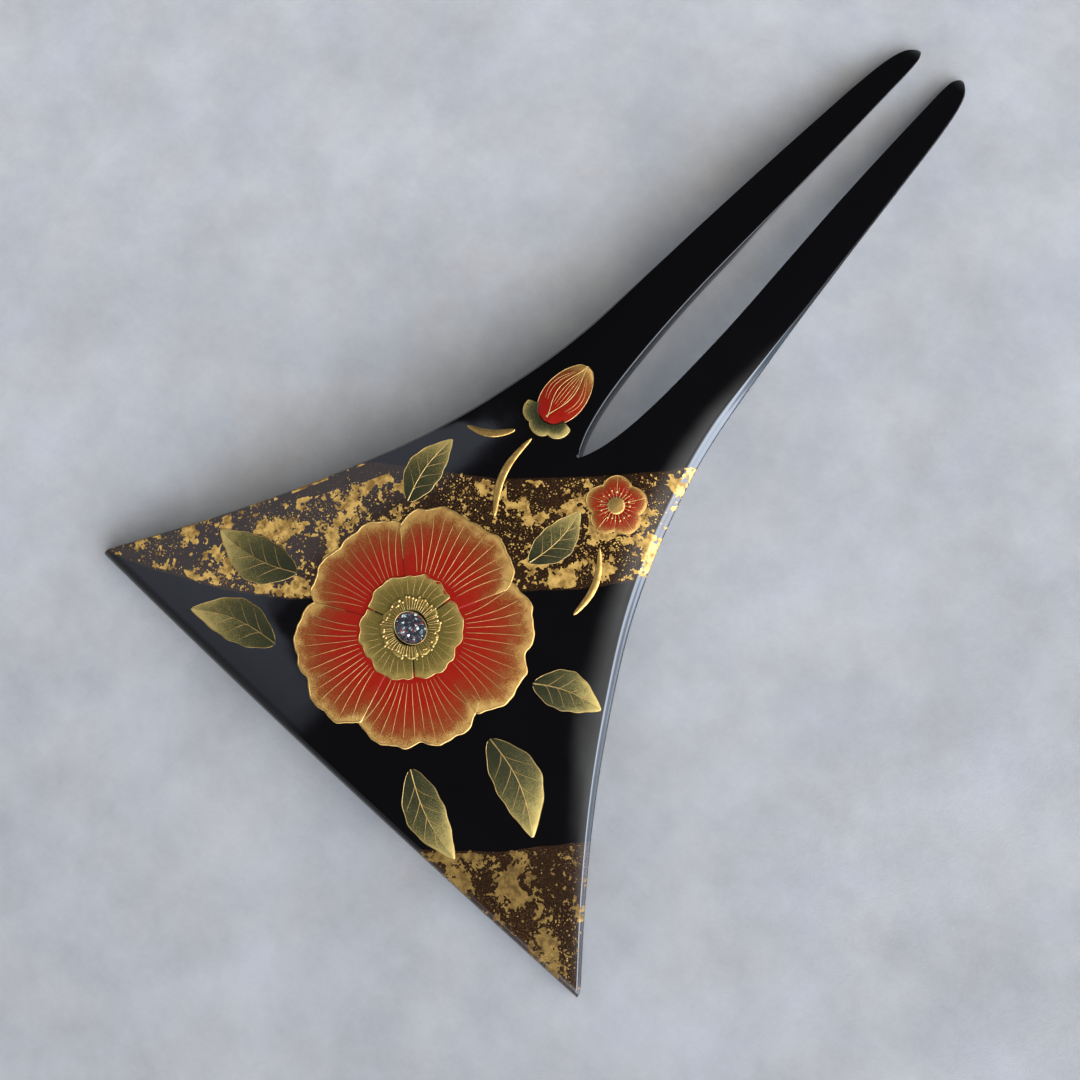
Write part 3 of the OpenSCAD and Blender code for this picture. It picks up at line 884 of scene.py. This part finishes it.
def build_flower(veins, rims):
    """Five broad outer petals and three cupped inner ones, with their veins and gilded rims."""
    for k in range(5):
        low, high = RIM_H * 0.7 + PETAL_STEP[k], RELIEF_H - 0.02 + PETAL_STEP[k]
        form = petal_form(FLOWER, PETAL_TURN + 72 * k, PETAL_SPREAD, PETAL_START, FLOWER_R * PETAL_LENGTH[k],
                          shoulder=0.15, notch=0.035, frill=0.022, frills=5, low=low, high=high,
                          phase=0.13 * k)
        lacquer(f"outer_petal_{k + 1}", form, 64, 28, "red", "red_gold_lacquer", f"petal_{k + 1}")
        for n, a0 in enumerate(np.linspace(-0.84, 0.84, 12)):
            t = np.linspace(0, 1, 18)
            stop = 0.88 + 0.05 * math.sin(2.3 * n + k)
            v = 0.18 + (stop - 0.18) * t
            a = a0 * (0.80 + 0.20 * t) + 0.016 * np.sin(3 * t + n)
            veins.trace(form, a, v, 0.35 + 0.65 * np.sin(np.pi * t ** 0.8) ** 0.6)
        # The gilded line goes up one side, round the rim and down the other side
        side, rim = np.linspace(0.45, 0.985, 14), np.linspace(-1, 1, 72) * 0.992
        a = np.concatenate([np.full(14, -0.992), rim, np.full(14, 0.992)])
        v = np.concatenate([side, np.full_like(rim, 0.985), side[::-1]])
        taper = np.concatenate([np.linspace(0.3, 0.9, 14), np.full(72, 1.0), np.linspace(0.9, 0.3, 14)])
        rims.trace(form, a, v, taper)
    for k in range(3):
        form = petal_form(FLOWER, PETAL_TURN + 36 + 120 * k, INNER_SPREAD, STAMEN_R - 0.6, INNER_R,
                          shoulder=0.10, notch=0.05, frill=0.035, frills=6, low=RIM_H + 0.11,
                          high=RELIEF_H + 0.09, phase=0.2 * k)
        lacquer(f"cupped_petal_{k + 1}", form, 56, 18, "olive", "olive_gold_lacquer", f"inner_petal_{k + 1}")
        for a0 in np.linspace(-0.84, 0.84, 11):
            t = np.linspace(0, 1, 12)
            veins.trace(form, a0 * (0.86 + 0.14 * t), 0.25 + 0.60 * t, 0.3 + 0.45 * np.sin(np.pi * t))
        rims.trace(form, np.linspace(-0.985, 0.985, 60), 0.98, 0.8)


def build_heart(rims):
    """The ring of stamens round an oval of crushed shell."""
    form = lobed_form(FLOWER, STAMEN_START, STAMEN_R + 0.15, lobes=12, dip=0.1, low=0.22, high=0.30)
    lacquer("stamen_ring", form, 144, 8, "olive", "gold_powder", "stamens", closed=True)
    rng = np.random.default_rng(31)
    threads, tips = Strokes(), []
    for k in range(STAMEN_THREADS):
        angle = 2 * math.pi * (k + 0.5 * rng.random()) / STAMEN_THREADS
        start, stop = 2.75 + 0.2 * rng.random(), STAMEN_R - 0.75 + 0.95 * rng.random()
        t = np.linspace(0, 1, 6)
        r = start + (stop - start) * t
        x, y = round_from(FLOWER, r, angle + 0.05 * (rng.random() - 0.5) * t)
        threads.draw(x, y, 0.30 + 0.05 * np.sin(np.pi * t), 0.9)
        tips.append((x[-1], y[-1], float(face_z(x[-1], y[-1])) + 0.34))
    crown(threads, tips, ("stamen_threads", "stamen_tips"), STAMEN_LINE, STAMEN_BEAD, seed=3)

    def dome(a, u):
        x = FLOWER[0] + (u - 0.5) * SHELL[0]
        wide = np.sqrt(np.clip(1 - (2 * u - 1) ** 2, 0, 1))
        y = FLOWER[1] + a * SHELL[1] / 2 * np.maximum(wide, 0.02)
        return x, y, SHELL_LOW + SHELL_DOME * np.clip(1 - (2 * u - 1) ** 2 - (a * wide) ** 2, 0, 1)

    def oval(share, angle):
        x = FLOWER[0] + SHELL[0] / 2 * share * np.cos(angle)
        return x, FLOWER[1] + SHELL[1] / 2 * share * np.sin(angle)

    lacquer("shell_bed", dome, 20, 24, "bed", "crushed_shell", "shell_inlay")
    rims.draw(*oval(1.0, np.linspace(0, 2 * np.pi, 49)), 0.26, 0.9)
    share, angle = np.meshgrid(np.linspace(0, 0.95, 6), np.linspace(0, 2 * np.pi, 25), indexing="ij")
    x, y = oval(share, angle)
    z = face_z(x, y) + SHELL_LOW + 0.02 + SHELL_DOME * (1 - share ** 2)
    points = np.stack([x.ravel(), y.ravel(), z.ravel()], axis=1)
    chips = make_mesh("shell_chips", points, squares(*share.shape))
    note(chips, "dust", np.ones(len(points)))
    grow(chips, FLAKES, flakes=SHELL_CHIPS, flake_size=0.21 * MM, flake_depth=0.22, tilt=0.26, seed=5,
         material=FINISH["shell"])
    belongs(chips, "crushed_shell")


# Leaves and stems: where each starts, the way it points, its length, its width and its bend
LEAF = (
    (-22.6, 19.5, 192, 15.5, 7.4, 1.2), (-17.8, 9.0, 199, 16.0, 7.0, -1.2),
    (-16.2, 39.3, 96, 12.0, 6.0, 0.8), (5.0, 44.4, 86, 11.0, 5.6, -0.8),
    (17.4, 31.0, 20, 11.0, 6.2, 0.8), (17.8, 20.5, 335, 16.0, 7.4, 1.4),
    (11.5, 9.0, 338, 15.0, 6.4, -1.0))
STEM = ((-4.0, 46.4, 106, 13.4, 1.2, 1.6), (15.4, 42.8, 110, 11.0, 1.1, -1.4),
        (-10.6, 58.6, 213, 7.8, 1.2, 0.9))
BUD_AT, BUD_SIZE, BUD_TURN = (-8.0, 62.6), (11.0, 7.2), 93.0
CALYX_R, CALYX_LIFT = (3.05, 4.9), 2.4
PLUM_AT, PLUM_R, PLUM_HEART_R, PLUM_TURN = (9.4, 59.6), 4.8, 1.35, 0.35


def build_leaves(veins, rims):
    for k, row in enumerate(LEAF):
        form = leaf_form(*row)
        lacquer(f"painted_leaf_{k + 1}", form, 16, 56, "leaf", "leaf_lacquer", f"leaf_{k + 1}")
        t = np.linspace(0, 1, 30)
        rims.trace(form, 0.0, 0.01 + 0.93 * t, 1.15 - 0.8 * t, lift=0.02)
        for side in (-1, 1):
            rims.trace(form, 0.97 * side, np.linspace(0.02, 0.995, 44), 0.62)
            for n in range(4):
                t = np.linspace(0, 1, 12)
                start = 0.16 + 0.17 * n + (0.03 if side > 0 else 0)
                veins.trace(form, side * 0.84 * t, start + 0.20 * t ** 0.8, 0.75 - 0.5 * t)
    for k, row in enumerate(STEM):
        form = leaf_form(*row, fullness=0.5, low=0.10, high=0.20, rib=0.0, wave=0.0)
        lacquer(f"brushed_stem_{k + 1}", form, 8, 40, "gold", "gold_powder", f"stem_{k + 1}")


def build_bud(veins, rims):
    """A closed bud of three folded petals, in its green cup."""
    def folds(u):
        bow = np.sin(np.pi * u)
        return -0.42 * bow + 0.20 * (1 - u), 0.48 * bow - 0.12 * (1 - u)

    plain = leaf_form(*BUD_AT, BUD_TURN, *BUD_SIZE, 0, fullness=0.5, low=0.12, high=0.34, rib=0.0, wave=0.0)

    def form(a, u):
        x, y, lift = plain(a, u)
        left, right = folds(u)
        creases = np.exp(-((a - left) / 0.07) ** 2) + np.exp(-((a - right) / 0.07) ** 2)
        return x, y, lift - 0.07 * creases

    lacquer("closed_bud", form, 40, 48, "red", "red_gold_lacquer", "bud")
    u = np.linspace(0.06, 0.97, 30)
    for fold in folds(u):
        rims.trace(plain, fold, u, 0.75)
    for side in (-1, 1):
        rims.trace(plain, 0.975 * side, u, 0.7)
    t = np.linspace(0, 1, 16)
    for a0 in (-0.8, -0.64, -0.22, -0.06, 0.1, 0.24, 0.66, 0.82):
        a = a0 * np.sin(np.pi * (0.3 + 0.5 * t))
        veins.trace(plain, a, 0.28 + 0.56 * t, 0.4 + 0.5 * np.sin(np.pi * t))

    way = math.radians(BUD_TURN)
    middle = (BUD_AT[0] + CALYX_LIFT * math.cos(way), BUD_AT[1] + CALYX_LIFT * math.sin(way))

    def sepals(a, v):
        point = np.abs(np.cos(1.5 * np.pi * a)) ** 0.7
        r = CALYX_R[0] - 0.5 + (CALYX_R[1] - CALYX_R[0] + 0.5) * v * (0.72 + 0.28 * point)
        angle = way + math.pi + np.radians(75) * a
        return *round_from(middle, r, angle), 0.30 + 0.08 * np.sin(np.pi * v)

    lacquer("bud_cup", sepals, 48, 12, "leaf", "leaf_lacquer", "calyx")
    rims.trace(sepals, np.linspace(-0.98, 0.98, 60), 0.97, 0.6)


def build_plum(veins, rims):
    """A small round five-lobed flower with a gold middle."""
    form = lobed_form(PLUM_AT, 0.9, PLUM_R, lobes=5, dip=0.2, low=0.12, high=0.32, turn=PLUM_TURN)
    lacquer("plum_petals", form, 120, 14, "red", "red_gold_lacquer", "plum", closed=True)
    rims.trace(form, np.linspace(-1, 1, 121), 0.98, 0.75)
    t = np.linspace(0, 1, 10)
    for k in range(5):
        notch, middle = ((2 * math.pi * (k + half) / 5 + PLUM_TURN) / math.pi - 1 for half in (0, 0.5))
        rims.trace(form, notch, 0.3 + 0.68 * t, 0.5)
        for spread in (-0.16, -0.08, 0.0, 0.08, 0.16):
            veins.trace(form, middle + spread, 0.25 + (0.42 - abs(spread)) * t, 0.6)

    def heart(a, v):
        return *round_from(PLUM_AT, PLUM_HEART_R * v, np.pi * a), 0.36 + 0.10 * (1 - v * v)

    lacquer("plum_boss", heart, 32, 6, "gold", "gold_powder", "plum_heart", closed=True)
    rng = np.random.default_rng(12)
    threads, tips = Strokes(), []
    for k in range(PLUM_THREADS):
        angle = 2 * math.pi * (k + 0.3 * rng.random()) / PLUM_THREADS
        x, y = round_from(PLUM_AT, np.linspace(1.1, 1.9 + 0.55 * rng.random(), 5), angle)
        threads.draw(x, y, 0.36, 0.8)
        tips.append((x[-1], y[-1], float(face_z(x[-1], y[-1])) + 0.38))
    crown(threads, tips, ("plum_threads", "plum_beads"), PLUM_LINE, PLUM_BEAD, seed=9)


# ---------------------------------------------------------------- gold mist
def lattice(x, y, cell, seed):
    """Smooth random values from 0 to 1, one for each cell and blended between them."""
    table = np.random.default_rng(seed).random((64, 64))
    u, v = x / cell, y / cell
    i, j = np.floor(u).astype(int), np.floor(v).astype(int)
    a, b = u - i, v - j
    a, b = a * a * (3 - 2 * a), b * b * (3 - 2 * b)

    def at(m, n):
        return table[(i + m) % 64, (j + n) % 64]
    return (at(0, 0) * (1 - a) + at(1, 0) * a) * (1 - b) + (at(0, 1) * (1 - a) + at(1, 1) * a) * b


def cloudy(x, y, cell, seed, octaves, gain=0.56):
    """Layers of ever finer lattices, each turned against the last."""
    total, weight, share = 0.0, 0.0, 1.0
    for k in range(octaves):
        turn = 0.6 + 0.9 * k
        rx, ry = x * math.cos(turn) - y * math.sin(turn), x * math.sin(turn) + y * math.cos(turn)
        total = total + share * lattice(rx + 17.3 * k, ry - 9.1 * k, cell / 1.93 ** k, seed + k)
        weight += share
        share *= gain
    return total / weight


# Ends of the mist in x and y, cell sizes, the leaf's height above the face and depth below it, and
# the dust's height. A cut through a cell's side stays clear of its ends by a share of the side.
MIST_X, MIST_END = 52.5, 74.0
LEAF_CELL, DUST_CELL = 0.17, 0.6
LEAF_TOP, LEAF_LOW, DUST_TOP = 0.022, 0.03, 0.012
CUT_CLEAR = 0.04


def torn_field(x, y):
    """Above 0 where torn gold leaf lies: broad torn pieces and small flecks between them, more of
    both towards the corner at -x, and fewer along the edge of the mist."""
    corner = line_at(CORNER_TOP, x) - y > 0
    stock = cloudy(x, y, 9.0, 77, octaves=2) - 0.5
    tear = 0.44 * (cloudy(x, y, 0.55, 91, octaves=3, gain=0.85) - 0.5)
    rich = np.clip((-x - 27) / 12, 0, 1)
    broad = cloudy(x, y, 3.4, 41, octaves=4, gain=0.62) - np.where(corner, 0.594, 0.606)
    broad = broad + 0.09 * stock + 0.08 * rich
    near = np.clip(1 + broad / 0.14, 0, 1)
    broad = broad + tear
    flecks = cloudy(x, y, 0.62, 205, octaves=3, gain=0.75) - np.where(corner, 0.625, 0.64)
    flecks = flecks + 0.13 * (near - 0.5) + 0.10 * stock + 0.03 * rich
    fringe = 0.2 * np.clip((0.5 - mist_depth(x, y)) / 0.5, 0, 1) ** 0.5
    return np.minimum(np.maximum(broad, flecks) - fringe, mist_depth(x, y) + 0.15)


def lay_torn_leaf():
    """Torn gold leaf as thin closed sheets, cut where the field crosses 0."""
    xs = np.arange(-MIST_X, MIST_X + LEAF_CELL, LEAF_CELL)
    ys = np.arange(0.0, MIST_END + LEAF_CELL, LEAF_CELL)
    grid_x, grid_y = np.meshgrid(xs, ys, indexing="ij")
    rim = np.minimum(half_width(grid_y) - np.abs(grid_x) - 0.03, grid_y - 0.25)
    value = np.minimum(torn_field(grid_x, grid_y), rim)
    corner = [value[:-1, :-1], value[1:, :-1], value[1:, 1:], value[:-1, 1:]]
    busy = np.argwhere(np.maximum.reduce(corner) > 0)
    spots, where = [], {}

    def spot(key, x, y):
        if key not in where:
            where[key] = len(spots)
            spots.append((x, y))
        return where[key]

    faces = []
    for i, j in busy:
        ends = ((i, j), (i + 1, j), (i + 1, j + 1), (i, j + 1))
        outline = []
        for k in range(4):
            p, q = ends[k], ends[(k + 1) % 4]
            f, g = value[p], value[q]
            if f > 0:
                outline.append(spot(p, xs[p[0]], ys[p[1]]))
            if (f > 0) != (g > 0):
                t = min(max(f / (f - g), CUT_CLEAR), 1 - CUT_CLEAR)
                x = xs[p[0]] + t * (xs[q[0]] - xs[p[0]])
                y = ys[p[1]] + t * (ys[q[1]] - ys[p[1]])
                outline.append(spot((min(p, q), max(p, q)), x, y))
        if len(outline) > 2:
            faces.append(outline)
    spots = np.array(spots)
    z = face_z(spots[:, 0], spots[:, 1])
    n = len(spots)
    points = np.concatenate([np.column_stack([spots, z + lift]) for lift in (LEAF_TOP, -LEAF_LOW)])
    # A side that no second face shares gets a wall
    sides = dict.fromkeys((p, q) for f in faces for p, q in zip(f, f[1:] + f[:1]))
    walls = [(q, p, n + p, n + q) for p, q in sides if (q, p) not in sides]
    shell = faces + [[n + v for v in reversed(f)] for f in faces] + walls
    sheet = make_mesh("torn_gold_leaf", points, shell)
    sheet.data.set_sharp_from_angle(angle=math.radians(40))
    coat(sheet, FINISH["leafing"])
    belongs(sheet, "gold_powder")


def sprinkle_mist():
    """Gold dust over the mist bands."""
    xs = np.arange(0.1 - MIST_X, MIST_X - 0.1, DUST_CELL)
    ys = np.arange(0.3, MIST_END, DUST_CELL)
    grid_x, grid_y = np.meshgrid(xs, ys, indexing="ij")
    depth = mist_depth(grid_x, grid_y)
    inside = (half_width(grid_y) - np.abs(grid_x) > 0.35) & (depth > -0.5)
    patch = cloudy(grid_x, grid_y, 6.5, 141, octaves=3)
    near = np.clip((torn_field(grid_x, grid_y) + 0.12) / 0.12, 0, 1)
    dust = np.clip((patch - 0.36) / 0.3, 0.06, 1) * np.clip(depth / 0.8, 0, 1) * (0.55 + 0.75 * near)
    z = face_z(np.clip(grid_x, -half_width(grid_y), half_width(grid_y)), grid_y) + DUST_TOP
    points = np.column_stack([grid_x.ravel(), grid_y.ravel(), z.ravel()])
    bed = make_mesh("gold_dust", points, squares(*inside.shape, inside))
    note(bed, "dust", dust)
    grow(bed, FLAKES, flakes=MIST_FLAKES, flake_size=0.105 * MM, flake_depth=0.2, tilt=0.12, seed=17,
         material=FINISH["leafing"])
    belongs(bed, "gold_powder")


build_blade()
vein_lines, rim_lines = Strokes(), Strokes()
build_flower(vein_lines, rim_lines)
build_heart(rim_lines)
build_leaves(vein_lines, rim_lines)
build_bud(vein_lines, rim_lines)
build_plum(vein_lines, rim_lines)
vein_lines.raise_up("fine_veins", VEIN_LINE, "vein")
rim_lines.raise_up("gold_outlines", RIM_LINE, "pale")
lay_torn_leaf()
sprinkle_mist()


# ---------------------------------------------------------------- the studio
TABLE_HALF, TABLE_Z = 2200.0, -0.02


def lay_table():
    """The floor, a hair below the pin so that the two never share a plane."""
    corners = [(x * TABLE_HALF, y * TABLE_HALF, TABLE_Z) for x, y in ((-1, -1), (1, -1), (1, 1), (-1, 1))]
    coat(make_mesh("table", corners, [(0, 1, 2, 3)]), table_top())


CAMERA_AZIMUTH, CAMERA_ELEVATION, CAMERA_ROLL = 77.07, 76.56, -36.25
CAMERA_DISTANCE, AIM_RIGHT, AIM_UP = 0.2435, -0.02533, -0.00708
CAMERA_LENS, CAMERA_SENSOR = 50.43, 36.0


def set_camera():
    """A camera at the viewing angle, turned about its own axis."""
    azimuth, elevation, turn = (math.radians(angle) for angle in
                                (CAMERA_AZIMUTH, CAMERA_ELEVATION, CAMERA_ROLL))
    right = Vector((math.cos(azimuth), math.sin(azimuth), 0))
    back = Vector((math.sin(azimuth) * math.cos(elevation), -math.cos(azimuth) * math.cos(elevation),
                   math.sin(elevation)))
    up = back.cross(right)
    place = right * AIM_RIGHT + up * AIM_UP + back * CAMERA_DISTANCE
    side = right * math.cos(turn) + up * math.sin(turn)
    top = up * math.cos(turn) - right * math.sin(turn)
    lens = bpy.data.cameras.new("camera")
    lens.lens, lens.sensor_width, lens.clip_start, lens.clip_end = CAMERA_LENS, CAMERA_SENSOR, 0.01, 20
    camera = bpy.data.objects.new("camera", lens)
    matrix = Matrix((side, top, back)).transposed().to_4x4()
    matrix.translation = place
    camera.matrix_world = matrix
    bpy.context.scene.collection.objects.link(camera)
    bpy.context.scene.camera = camera


# Light from the room, in bands: the heights where a band comes up, from none to full, and where it
# goes again, from none to full; its strength; and its colours by direction round the pin, from -x
# through -y, +x and +y back to -x in steps of 45 degrees
ROOM = (
    ((0.40, 0.15, 2.00, 1.00), 10.0, {0: (0.035, 0.035, 0.035), 1: (0.05, 0.05, 0.05), 3: (0.55, 0.64, 0.78),
                                      4: (0.15, 0.20, 0.25), 5: (0.20, 0.25, 0.30), 6: (0.03, 0.035, 0.035),
                                      7: (0.03, 0.035, 0.035)}),
    ((0.15, 0.40, 0.65, 0.40), 20.0, {1: (0.02, 0.018, 0.016), 2: (0.03, 0.03, 0.03), 3: (0.37, 0.41, 0.49),
                                      4: (0.68, 0.76, 0.93), 5: (0.18, 0.20, 0.24), 6: (0.01, 0.01, 0.01)}),
    ((0.40, 0.62, 0.80, 0.62), 5.0, {3: (0.45, 0.50, 0.60), 4: (0.15, 0.16, 0.20)}),
)


def soft_window(azimuth, elevation, distance, width, height, power, colour):
    """A window of light in that direction, in degrees, that faces the pin."""
    light = bpy.data.lights.new("window", "AREA")
    light.shape, light.size, light.size_y = "RECTANGLE", width, height
    light.energy, light.color = power, colour
    lamp = bpy.data.objects.new("window", light)
    a, e = math.radians(azimuth), math.radians(elevation)
    way = Vector((math.cos(a) * math.cos(e), math.sin(a) * math.cos(e), math.sin(e)))
    lamp.location = way * distance
    lamp.rotation_euler = way.to_track_quat("Z", "Y").to_euler()
    bpy.context.scene.collection.objects.link(lamp)


def light_room():
    """A dim ceiling, a pale wall on the left and broad soft daylight from the lower right."""
    world = bpy.data.worlds.new("room")
    world.use_nodes = True
    bpy.context.scene.world = world
    n = Nodes(world.node_tree)

    def glow(share, radiance, colour):
        feeds = {0: colour, "Scale": n.times(share, radiance)}
        return n.add("ShaderNodeVectorMath", feeds, operation="SCALE")

    x, y, z = n.axes(n.add("ShaderNodeTexCoord", out="Generated"))
    high = n.between(z, 0.40, 0.65, kind="LINEAR")
    # The pale wall at -x, whose edge steps along y, and daylight at +x, which leans back at -y
    edge = n.plus(n.between(y, -0.30, -0.38, 0.0, 0.16), n.between(y, -0.1, 0.05, 0.0, 0.05),
                  n.between(y, 0.1, 0.25, 0.0, -0.5))
    wall = n.between(n.less(x, n.plus(edge, -0.45)), 0.02, -0.03)
    wall = n.times(wall, n.between(y, -0.50, -0.30, 0.40, 1.0))
    lean = n.times(n.math("MAXIMUM", n.less(-0.1, y), 0.0), n.between(z, 0.75, 0.88, 0.35, 0.95))
    day = n.between(n.less(x, lean), 0.02, 0.36)
    lights = [glow(1.0, 0.04, (1.0, 0.97, 0.9)), glow(n.times(wall, high), 0.9, (0.74, 0.82, 1.0)),
              glow(n.times(day, high), 3.4, (0.98, 1.0, 1.0))]
    turn = n.plus(n.math("DIVIDE", n.math("ARCTAN2", y, x), 2 * math.pi), 0.5)
    for (up_from, up_to, down_to, down_from), radiance, colours in ROOM:
        colour = n.ramp(turn, *[(k / 8, colours.get(k % 8, (0, 0, 0))) for k in range(9)])
        rise = n.between(z, up_from, up_to, kind="LINEAR")
        fall = n.between(z, down_to, down_from, kind="LINEAR")
        lights.append(glow(n.times(rise, fall), radiance, colour))
    total = lights[0]
    for light in lights[1:]:
        total = n.add("ShaderNodeVectorMath", {0: total, 1: light})
    n.tree.links.new(total, n.tree.nodes["Background"].inputs["Color"])


lay_table()
set_camera()
light_room()
soft_window(azimuth=29, elevation=24, distance=1.5, width=1.2, height=0.36, power=7.5,
            colour=(0.74, 0.86, 1.0))
bpy.context.scene.view_settings.view_transform = "Standard"
